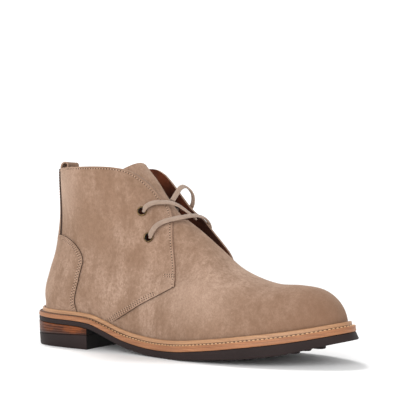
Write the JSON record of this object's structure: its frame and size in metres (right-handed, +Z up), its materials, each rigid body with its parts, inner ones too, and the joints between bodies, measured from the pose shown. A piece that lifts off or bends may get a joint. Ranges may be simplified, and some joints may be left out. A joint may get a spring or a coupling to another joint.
{
  "type": "chukka boot",
  "caption": "Welted ankle boot in suede with a low open collar, short lacing over a tongue, stacked heel and studded sole.",
  "frame": {"origin": "on the floor under the middle of the boot's bounding box", "axes": "+X towards the toe, +Y to the inner (medial) side, +Z up"},
  "size_m": [0.306, 0.1044, 0.1617],
  "materials": {
    "suede": "napped suede, matte",
    "lining_leather": "smooth, satin",
    "welt_leather": "dyed, satin",
    "edge_leather": "burnished edge",
    "stack_leather": "polished layers",
    "rubber": "matte moulded",
    "antique_brass": "antiqued, satin",
    "lace_cotton": "flat woven"
  },
  "bodies": {
    "root": {"outsole": "rubber", "heel_top_piece": "rubber", "heel_stack": "stack_leather", "midsole": "edge_leather", "welt": "welt_leather", "insole": "lining_leather", "upper": "suede", "tongue": "suede", "heel_counter": "suede", "back_stay": "suede", "pull_loop": "suede", "eyelet_outer_upper": "antique_brass", "eyelet_outer_lower": "antique_brass", "eyelet_inner_upper": "antique_brass", "eyelet_inner_lower": "antique_brass", "laces": "lace_cotton", "lace_loop": "lace_cotton"}
  },
  "joints": []
}
